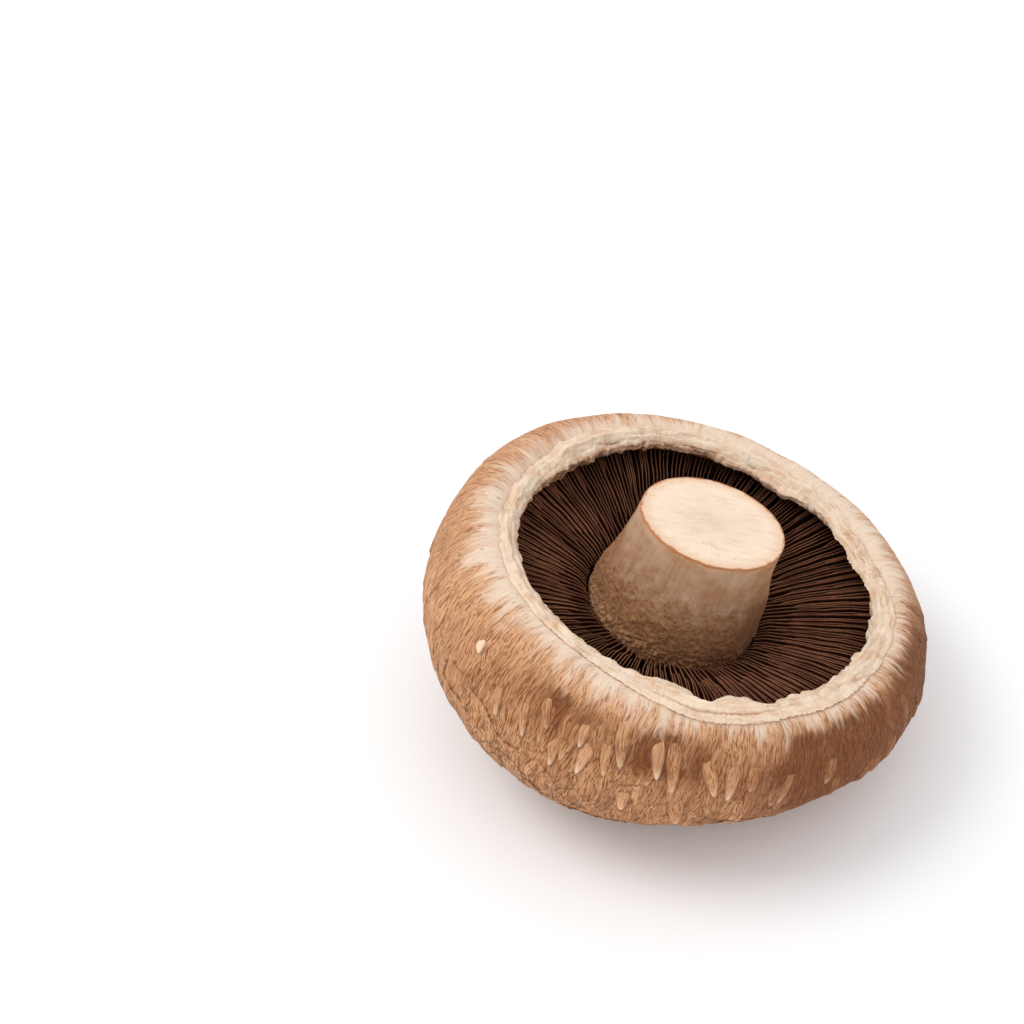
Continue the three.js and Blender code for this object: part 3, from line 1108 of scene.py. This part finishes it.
# lobes and notches of the torn inner edge, and bulges of the outer edge, as bumps
INNER_LOBES = (
    (0.9, 100, 22), (0.9, 84, 6), (1.6, 22, 34), (-1.7, 135, 20), (1.0, 200, 14), (-1.6, 258, 8),
    (2.6, 269, 3.2), (-0.9, 279, 5), (2.0, 289, 3.2), (-1.8, 55, 8), (1.2, 10, 6), (-0.8, 74, 4),
)
OUTER_LOBES = ((3.0, 268, 20), (0.8, 305, 22), (-1.9, 150, 32), (-1.7, 20, 18))
THICKER = ((2.3, 148, 38), (1.2, 5, 45), (0.7, 80, 26))


def torn_edge(angle):
    """Radius of the veil's inner edge: broad lobes with notches between them, and small tears."""
    ring = grain_of(angle, 0 * angle)
    crumbly = 0.35 + 0.65 * np.maximum(bump(angle, 110, 55), bump(angle, 15, 50))
    tears = crumbly * (1.1 * noise(ring * 13, 21) + 1.0 * noise(ring * 30, 22))
    return mm("mouth_radius") + bumps(angle, *INNER_LOBES) + tears


def outer_edge(angle):
    """Radius of the veil's outer edge, which laps over the crest of the cap at the front."""
    ring = grain_of(angle, 0 * angle)
    ragged = 0.7 * noise(ring * 7, 23) + 0.35 * noise(ring * 60, 24)
    return LAP_RADIUS + bumps(angle, *OUTER_LOBES) + ragged


def crest_height(radius):
    """Height of the cap's skin at a radius near the mouth."""
    roll, rise, widest = mm("margin_roll"), mm("margin_rise"), mm("widest_depth")
    out = np.clip((radius - (mm("cap_radius") - roll)) / roll, 0, 1)
    over = -widest + (widest + rise) * np.sqrt(1 - out**2)
    return np.where(out > 0, over, ledge_height(radius))


def smooth_line(stations, angle):
    """A smooth line through stations, each a radius and a height at every angle: the radius and
    height at every step of the way, and how many stations are behind it."""
    count = len(stations)
    line = np.stack([np.stack([r + 0 * angle, z + 0 * angle], -1) for r, z in stations])
    at = np.linspace(0, count - 1, VEIL_STEPS)
    left = np.minimum(at.astype(int), count - 2)
    share = (at - left)[:, None, None]
    before, after = line[np.maximum(left - 1, 0)], line[np.minimum(left + 2, count - 1)]
    here, there = line[left], line[left + 1]
    slope, next_slope = 0.4 * (there - before), 0.4 * (after - here)
    curve = (2 * share**3 - 3 * share**2 + 1) * here + (share**3 - 2 * share**2 + share) * slope
    curve += (3 * share**2 - 2 * share**3) * there + (share**3 - share**2) * next_slope
    return curve[..., 0], curve[..., 1], at


def add_ply(parts, stations, angle, seed, roughness):
    """One closed ply of the veil through its stations, lumpy and creased."""
    radius, height, at = smooth_line(stations, angle)
    angles = np.broadcast_to(angle, radius.shape)
    grid = np.stack([radius * np.cos(angles), radius * np.sin(angles), height], -1)
    flat = grid.reshape(-1, 3)
    travel = np.broadcast_to(at[:, None], radius.shape).ravel()
    ring = grain_of(angles.ravel(), travel)
    creased = noise(ring * np.array([6, 6, 2.2]), seed)
    lumpy = noise(flat / 3.2, seed + 1)
    knobbly = noise(flat / 1.2, seed + 2)
    knots = np.maximum(bump(angles, 130, 55), 0.35).ravel() * step(2.5, 5.5, travel)
    calm = 1 - 0.55 * bump(angles, 262, 42).ravel()
    relief = 0.55 * creased * calm + 0.8 * lumpy + (0.3 + 0.6 * knots) * knobbly * calm
    way = np.clip(travel / (len(stations) - 1), 0.0, 1)
    relief = relief * roughness * np.sin(math.pi * way) ** 0.6
    grid = grid + grid_normals(grid) * relief.reshape(radius.shape)[:, :, None]
    # darker in the hollows, at the outer edge and on the back wall: painted shade, with stains in the
    # creases
    hollow = np.clip(-1.8 * (creased + 0.7 * lumpy + 0.5 * knobbly), 0, 1)
    edge_shade = step(0.95, 0.45, travel) * (0.6 + 0.8 * noise(ring * np.array([9, 9, 0]), seed + 3))
    painted_back_shade = bump(angles, 122, 66).ravel() * step(4.0, 5.4, travel)
    parts.add(
        grid, grid_faces(*grid.shape[:2]),
        fold=np.clip(0.5 * hollow + 1.1 * edge_shade + 0.95 * painted_back_shade, 0, 1),
        angle=angles, radius=np.linalg.norm(grid[:, :, :2], axis=2),
    )


class MUSHROOM_OT_veil(bpy.types.Operator):
    """Build the torn veil round the mouth, with a second thin ply under its outer edge"""

    bl_idname = "mushroom.veil"
    bl_label = "Veil"

    def execute(self, context):
        parts = Parts()
        angle = np.arange(VEIL_COLUMNS) * TAU / VEIL_COLUMNS
        ring = grain_of(angle, 0 * angle)
        front = np.clip(bump(angle, 262, 26) + bump(angle, 300, 20), 0, 1)
        lapped, into = outer_edge(angle), torn_edge(angle)
        out = lapped - 2.2 * front + 0.5 * noise(ring * 12, 27)
        wide = out - into
        thick = 1.5 + bumps(angle, *THICKER)
        lip = -0.4 - 0.5 * bump(angle, 148, 38) + 0.5 * noise(ring * 8, 28)
        skin = crest_height(out)
        ridge = skin + 0.75 + 0.9 * noise(ring * 9, 29) + 0.4 * front
        thick_ply = (
            (out + 0.1, skin - 0.35),
            (out, skin + 0.35 + 0.5 * front),
            (out - 0.22 * wide, skin + 0.45 + 0.5 * front),
            (out - 0.45 * wide, ridge),
            (into + 0.25 * wide, lip + 0.55),
            (into, lip - 0.3),
            (into + 0.1, lip - 0.6 * thick),
            (into + 0.9, lip - thick),
            (into + 2.4, lip - thick + 0.2),
            UNDER_LEDGE,
        )
        add_ply(parts, thick_ply, angle, 25, 1.0)
        edge = lapped + front * (0.5 + 0.7 * noise(ring * 75, 31)) - 0.8 * (1 - front)
        under = crest_height(edge)
        thin_ply = (
            (edge - 0.3, under - 0.2),
            (edge, under + 0.25 + 0.3 * front),
            (edge - 0.8, under + 0.38 + 0.2 * front),
            (edge - 1.6, under + 0.5),
            (edge - 2.6, under + 0.4),
            (edge - 3.4, under - 0.5),
        )
        add_ply(parts, thin_ply, angle, 35, 0.45)
        make_piece(
            "veil_skin", place(parts.joined("points")), parts.joined("faces"), "veil",
            veil_material(), {"fold": parts.joined("fold")},
            grain_of(parts.joined("angle"), parts.joined("radius")),
        )
        return {"FINISHED"}


# -------------------------------------------------------------------------------------- the gills
# a blade's cross-section, over its free edge: millimetres to the side, and share of its height
BLADE_PROFILE = ((-0.15, -1.0), (-0.12, -0.4), (-0.11, -0.06), (-0.09, -0.015), (0.0, 0.0),
                 (0.09, -0.015), (0.11, -0.06), (0.12, -0.4), (0.15, -1.0))
# where the blades that don't reach the stem start, and how much lower their free edges are
MEDIUM_START = 21.5
SHORT_START = 32.0
STUB_START = 34.0
SHORTER_DROP = 0.22
BED_RINGS = 14
BED_COLUMNS = 180


def gill_ring():
    """The radii between which the gills lie."""
    return mm("stem_base_radius"), mm("cap_radius") - mm("margin_roll")


def gill_level(radius):
    """Height of the gills' free edges at a radius."""
    inner, outer = gill_ring()
    share = (radius - inner) / (outer - inner)
    dip = mm("gill_dip") + (mm("gill_dip_outside") - mm("gill_dip")) * share
    return -dip + 0.7 * np.sin(math.pi * np.clip(share, 0, 1))


def swayed(points, radius):
    """Moves what surrounds the stem's foot over with it."""
    inner, outer = gill_ring()
    points[..., 0] -= mm("stem_sway") * np.clip((outer - radius) / (outer - inner), 0, 1)
    return points


def blade_list():
    """Angle, inner radius and drop of every blade: long, medium and short ones, and stubs."""
    count = shape().blade_count
    inner = mm("stem_base_radius") + 0.2
    for index in range(count):
        luck = chance(index, np.arange(8), seed=51)
        angle = (index + 0.22 * (luck[0] - 0.5)) * TAU / count
        medium = angle + (0.5 + 0.2 * (luck[2] - 0.5)) * TAU / count
        short = angle + (0.26 + 0.06 * (luck[5] - 0.5)) * TAU / count
        stub = angle + (0.76 + 0.06 * (luck[5] - 0.5)) * TAU / count
        yield angle, inner + 0.5 * luck[1], 0.0
        yield medium, MEDIUM_START + 5.0 * luck[3], SHORTER_DROP
        if luck[4] < 0.42:
            yield short, SHORT_START + 6.5 * luck[6], SHORTER_DROP
        if luck[7] < 0.22:
            yield stub, STUB_START + 6.0 * luck[6], SHORTER_DROP


def add_blade(parts, number, angle, inner, outer, drop):
    """One blade: wavy, dipping towards the stem, and light only along its free edge, with painted
    shade dimming that edge on the blades at the back.
    """
    side = np.array([p[0] for p in BLADE_PROFILE])
    deep = np.array([p[1] for p in BLADE_PROFILE]) * mm("gill_height")
    radius = np.linspace(inner, outer, int(6 + (outer - inner) * 0.9))
    shared = grain_of(angle + 0 * radius, radius / 7, 5)
    alone = np.stack([np.full(len(radius), number * 1.37), radius / 5.0, 0 * radius], -1)
    sway = 0.5 * noise(shared, 52) + 0.13 * noise(alone, 53)
    level = gill_level(radius) + 0.3 * noise(alone + 9.5, 54) + 0.3 * noise(shared * 2, 55)
    level = level - 0.7 * step(2.2, 0.0, radius - inner) - drop
    offset = sway[:, None] + side * (0.8 + 0.4 * chance(number, seed=56))
    turn = angle + offset / radius[:, None]
    spread = np.broadcast_to(radius[:, None], turn.shape)
    blade = np.stack([spread * np.cos(turn), spread * np.sin(turn), level[:, None] + deep], -1)
    # the pale free edge, dimmed on the blades at the back as painted shade under the rim
    lit = step(-0.4, -0.05, deep) * (1 - 0.4 * bump(angle, 90, 52))
    parts.add(
        swayed(blade, spread), grid_faces(len(radius), len(side), closed=False),
        edge=np.broadcast_to(lit, turn.shape), tone=2 * chance(number, seed=57) - 1,
        angle=turn, radius=spread,
    )


def add_bed(parts, outer):
    """The dark flesh between the feet of the blades."""
    ring = np.linspace(mm("stem_base_radius") - 1.5, outer, BED_RINGS)
    turn = np.arange(BED_COLUMNS) * TAU / BED_COLUMNS
    spread, around = np.meshgrid(ring, turn, indexing="ij")
    level = gill_level(spread) - mm("gill_height") * 0.9
    bed = np.stack([spread * np.cos(around), spread * np.sin(around), level], -1)
    parts.add(
        swayed(bed, spread), grid_faces(BED_RINGS, BED_COLUMNS, turned=True),
        edge=0.0, tone=-1.0, angle=around, radius=spread,
    )


class MUSHROOM_OT_gills(bpy.types.Operator):
    """Stand the gill blades round the stem, on a dark bed"""

    bl_idname = "mushroom.gills"
    bl_label = "Gills"

    def execute(self, context):
        parts = Parts()
        outer = gill_ring()[1] - 0.9
        for number, (angle, inner, drop) in enumerate(blade_list()):
            add_blade(parts, number, angle, inner, outer, drop)
        add_bed(parts, outer)
        make_piece(
            "gill_blades", place(parts.joined("points")), parts.joined("faces"), "gills",
            gill_material(),
            {"edge": parts.joined("edge"), "tone": parts.joined("tone")},
            grain_of(parts.joined("angle"), parts.joined("radius")),
        )
        return {"FINISHED"}


# --------------------------------------------------------------------------------------- the stem
STEM_COLUMNS = 420
STEM_ROWS = 120
FACE_RINGS = 50
BELOW_COLLAR = -0.13


def stem_radius(angles, ups):
    """Radius of the stem's side, from the flared collar at 0 to the cut face at 1."""
    base, waist, end = mm("stem_base_radius"), mm("stem_waist_radius"), mm("stem_end_radius")
    flare = (base - waist) * np.exp(-5.5 * np.clip(ups, 0, 1) ** 2)
    flare = flare * (1 - 0.35 * bump(angles, 215, 70))
    flare = flare + 0.8 * bump(angles, 350, 45) * step(0.8, 0.3, ups) * step(-0.1, 0.4, ups)
    return waist + flare + (end - waist) * ups


def stem_relief(ring, ups):
    """How far wool, fibres, crumbs and lumps stand out of the stem's side."""
    up = ups.ravel()
    felted = step(0.75, 0.1, up)
    lumps = noise(ring * np.array([3.2, 3.2, 3.0]), 61) * (0.5 + 0.5 * felted)
    wool = rough_noise(ring * np.array([17, 17, 20]), 3, 62, 0.7) * felted
    fibre = rough_noise(ring * np.array([30, 30, 2.0]), 2, 66) * (1 - 0.5 * felted)
    crumbs = noise(ring * np.array([26, 26, 30]), 70) * step(0.14, 0.0, up)
    push = 0.5 * lumps + 0.32 * wool + 0.16 * fibre + 1.2 * crumbs
    return (push * step(1.0, 0.93, up) + 0.25 * lumps).reshape(ups.shape)


def stem_bruise(ring, angles, ups):
    """How dark the bruised patches of the stem's side are: the large patch on the right is partly a
    real bruise and partly painted shade on that side.
    """
    bruise_and_shade = 1.2 * bump(angles, 322, 36) * step(0.8, 0.2, ups)
    bruise_and_shade = bruise_and_shade + 0.4 * bump(angles, 262, 14) * step(0.3, 0.1, ups)
    spread = noise(ring * np.array([4, 4, 5]), 69).reshape(angles.shape)
    return np.clip(bruise_and_shade * (0.9 + 1.2 * spread), 0, 1)


class MUSHROOM_OT_stem(bpy.types.Operator):
    """Build the stem, with its felted collar and its cut face"""

    bl_idname = "mushroom.stem"
    bl_label = "Stem"

    def execute(self, context):
        collar = -mm("gill_dip")
        shaft = mm("stem_stands_out") - collar
        angle = np.arange(STEM_COLUMNS) * TAU / STEM_COLUMNS
        up = np.concatenate([np.linspace(BELOW_COLLAR, 1, STEM_ROWS), np.ones(FACE_RINGS)])
        inwards = np.concatenate([np.zeros(STEM_ROWS), np.linspace(0, 1, FACE_RINGS + 1)[1:]])
        angles, ups = np.meshgrid(angle, up)
        inward = np.broadcast_to(inwards[:, None], angles.shape)
        ring = grain_of(angles, ups).reshape(-1, 3)

        radius = (stem_radius(angles, ups) + stem_relief(ring, ups)) * (1 - inward)
        x, y = radius * np.cos(angles), radius * np.sin(angles)
        face = np.stack([x / 5, y / 2.2, 0 * x], -1).reshape(-1, 3)
        uneven = (0.22 * noise(face, 67) + 0.1 * noise(face * 3, 68)).reshape(angles.shape)
        along = np.clip(ups, 0, 1)
        height = collar + shaft * ups + uneven * step(0.0, 0.15, inward)
        height = height - y * math.tan(shape().cut_slope) * along
        grid = np.stack([x - mm("stem_sway") * (1 - along), y, height], -1)

        inside = np.where(inward > 0, inward * mm("stem_end_radius"), (ups - 1) * shaft)
        make_piece(
            "stem_flesh", place(grid.reshape(-1, 3)), grid_faces(*grid.shape[:2]), "stem",
            stem_material(),
            {"up": ups, "inside": inside, "bruise_and_shade": stem_bruise(ring, angles, ups),
             "crumbly": bump(angles, 205, 45)},
            grain_of(angles, ups * shaft),
        )
        return {"FINISHED"}


# -------------------------------------------------------------------------------------- the stage
FLOOR_HALF = 3.0
WARM_WHITE = (1, 0.985, 0.96)
CAMERA_RISE = math.radians(41)
# from the middle of the mouth to the camera: back along its view, up in its picture, and left
CAMERA_AWAY = 0.5176
CAMERA_ABOVE = 0.0111
CAMERA_LEFT = 0.0394
LENS = 85.0


def add_light(name, size, power, offset):
    """A round soft light, placed from the middle of the mouth and aimed at it."""
    light = bpy.data.lights.new(name, "AREA")
    light.shape = "DISK"
    light.size = size
    light.energy = power
    light.color = WARM_WHITE
    lamp = bpy.data.objects.new(name, light)
    bpy.context.scene.collection.objects.link(lamp)
    middle = Vector(mouth_middle())
    spot = middle + Vector(offset)
    lamp.location = spot
    lamp.rotation_euler = (middle - spot).to_track_quat("-Z", "Y").to_euler()


def add_floor():
    """A wide square floor at the height that the mushroom rests on."""
    half = FLOOR_HALF
    corners = [(-half, -half, 0), (half, -half, 0), (half, half, 0), (-half, half, 0)]
    mesh = bpy.data.meshes.new("floor")
    mesh.from_pydata(corners, [], [(0, 1, 2, 3)])
    floor = bpy.data.objects.new("floor", mesh)
    bpy.context.scene.collection.objects.link(floor)
    mesh.materials.append(floor_material())
    floor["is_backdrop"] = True


def add_surroundings():
    """Pale light from all round."""
    world = bpy.data.worlds.new("studio")
    world.use_nodes = True
    bpy.context.scene.world = world
    background = world.node_tree.nodes["Background"]
    background.inputs["Color"].default_value = (0.98, 0.985, 1, 1)
    background.inputs["Strength"].default_value = 0.98


def add_camera():
    """A long lens in front of the mushroom that looks down into its mouth."""
    lens = bpy.data.cameras.new("camera")
    lens.lens = LENS
    lens.sensor_width = 36.0
    lens.clip_start = 0.01
    camera = bpy.data.objects.new("camera", lens)
    bpy.context.scene.collection.objects.link(camera)
    back = Vector((0, -math.cos(CAMERA_RISE), math.sin(CAMERA_RISE)))
    raised = Vector((0, math.sin(CAMERA_RISE), math.cos(CAMERA_RISE)))
    middle = Vector(mouth_middle())
    camera.location = (
        middle + back * CAMERA_AWAY + raised * CAMERA_ABOVE - Vector((CAMERA_LEFT, 0, 0))
    )
    camera.rotation_euler = (math.pi / 2 - CAMERA_RISE, 0, 0)
    bpy.context.scene.camera = camera


class MUSHROOM_OT_stage(bpy.types.Operator):
    """Set the floor, the soft lights, the pale surroundings and the camera"""

    bl_idname = "mushroom.stage"
    bl_label = "Stage"

    def execute(self, context):
        add_floor()
        add_surroundings()
        add_light("key", 0.9, 7.5, (-0.9, 0.0, 1.2))
        add_light("front", 1.2, 2.0, (-0.3, -1.4, 0.9))
        add_camera()
        context.scene.view_settings.view_transform = "Standard"
        return {"FINISHED"}


class MUSHROOM_PT_panel(bpy.types.Panel):
    """Lists the steps that build the mushroom"""

    bl_label = "Portobello Mushroom"
    bl_idname = "MUSHROOM_PT_panel"
    bl_space_type = "VIEW_3D"
    bl_region_type = "UI"
    bl_category = "Mushroom"

    def draw(self, context):
        for settings in (context.scene.mushroom_shape, context.scene.mushroom_colours):
            box = self.layout.box()
            for key in settings.__annotations__:
                box.prop(settings, key)
        for step_class in STEPS:
            self.layout.operator(step_class.bl_idname)


STEPS = (
    MUSHROOM_OT_stage,
    MUSHROOM_OT_cap,
    MUSHROOM_OT_scales,
    MUSHROOM_OT_veil,
    MUSHROOM_OT_gills,
    MUSHROOM_OT_stem,
)
CLASSES = (MushroomShape, MushroomColours, *STEPS, MUSHROOM_PT_panel)


def register():
    for cls in CLASSES:
        bpy.utils.register_class(cls)
    bpy.types.Scene.mushroom_shape = PointerProperty(type=MushroomShape)
    bpy.types.Scene.mushroom_colours = PointerProperty(type=MushroomColours)


def unregister():
    del bpy.types.Scene.mushroom_colours
    del bpy.types.Scene.mushroom_shape
    for cls in reversed(CLASSES):
        bpy.utils.unregister_class(cls)


def write_sizes():
    """Turns the frame's box and the finished model's box into plain lists."""
    both = {"cad": FRAME_BOX, "visual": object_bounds()}
    plain = {key: [list(map(float, corner)) for corner in box] for key, box in both.items()}


def main():
    """Builds the stage and every piece in order."""
    register()
    for step_class in STEPS:
        group, name = step_class.bl_idname.split(".")
        result = getattr(getattr(bpy.ops, group), name)()
        if "FINISHED" not in result:
            raise RuntimeError(f"{step_class.bl_label} was not built")
    write_sizes()


if __name__ == "__main__":
    main()
